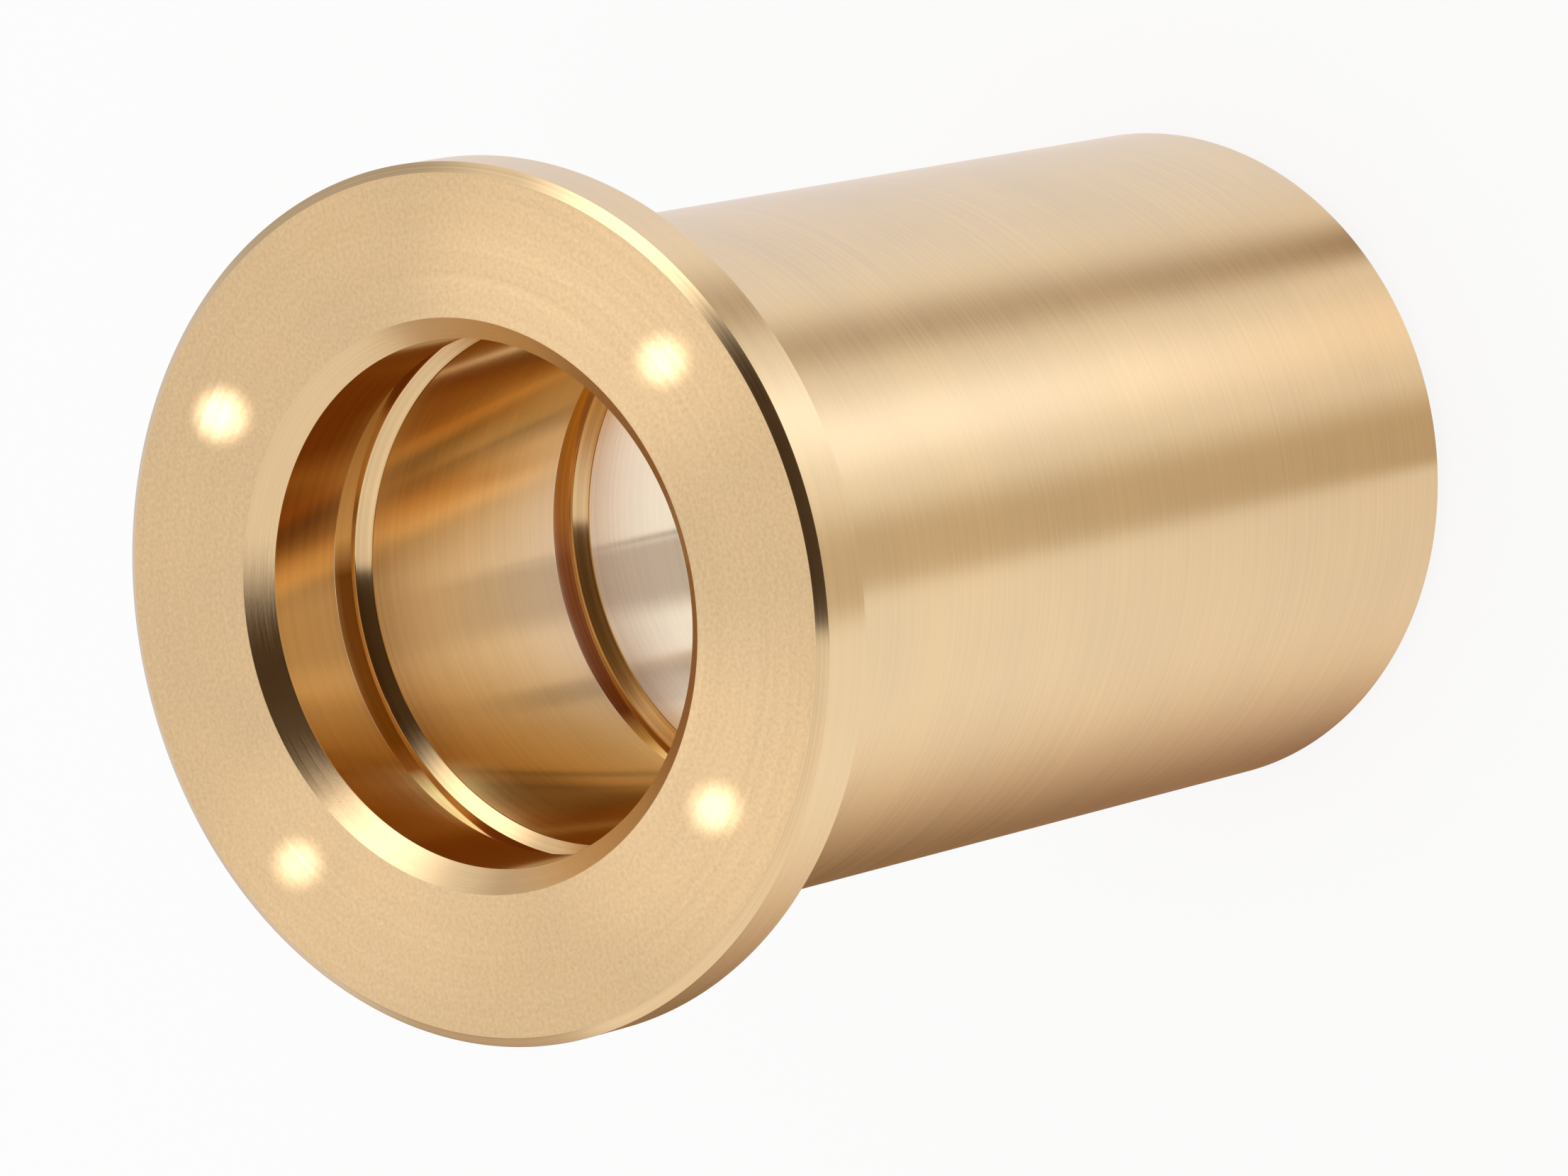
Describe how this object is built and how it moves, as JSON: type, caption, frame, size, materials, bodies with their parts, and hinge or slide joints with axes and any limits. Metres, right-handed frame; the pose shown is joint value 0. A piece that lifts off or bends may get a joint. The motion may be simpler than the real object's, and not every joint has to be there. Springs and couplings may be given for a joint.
{
  "type": "flanged bushing",
  "caption": "Turned bronze plain bushing with a thin thrust flange, a long sleeve and ring grease grooves in its bore.",
  "frame": {"origin": "centre of the foot of the sleeve, on the surface that the bushing stands on", "axes": "+Z along the bushing's axis from the foot to the thrust face of the flange; the part is the same all round the axis"},
  "size_m": [0.05, 0.05, 0.07],
  "materials": {
    "bronze": "turned bearing bronze: satin thrust face, fine turning lines on the sleeve, polished bore and chamfers"
  },
  "bodies": {
    "root": {"flanged_bushing": "bronze"}
  },
  "joints": []
}
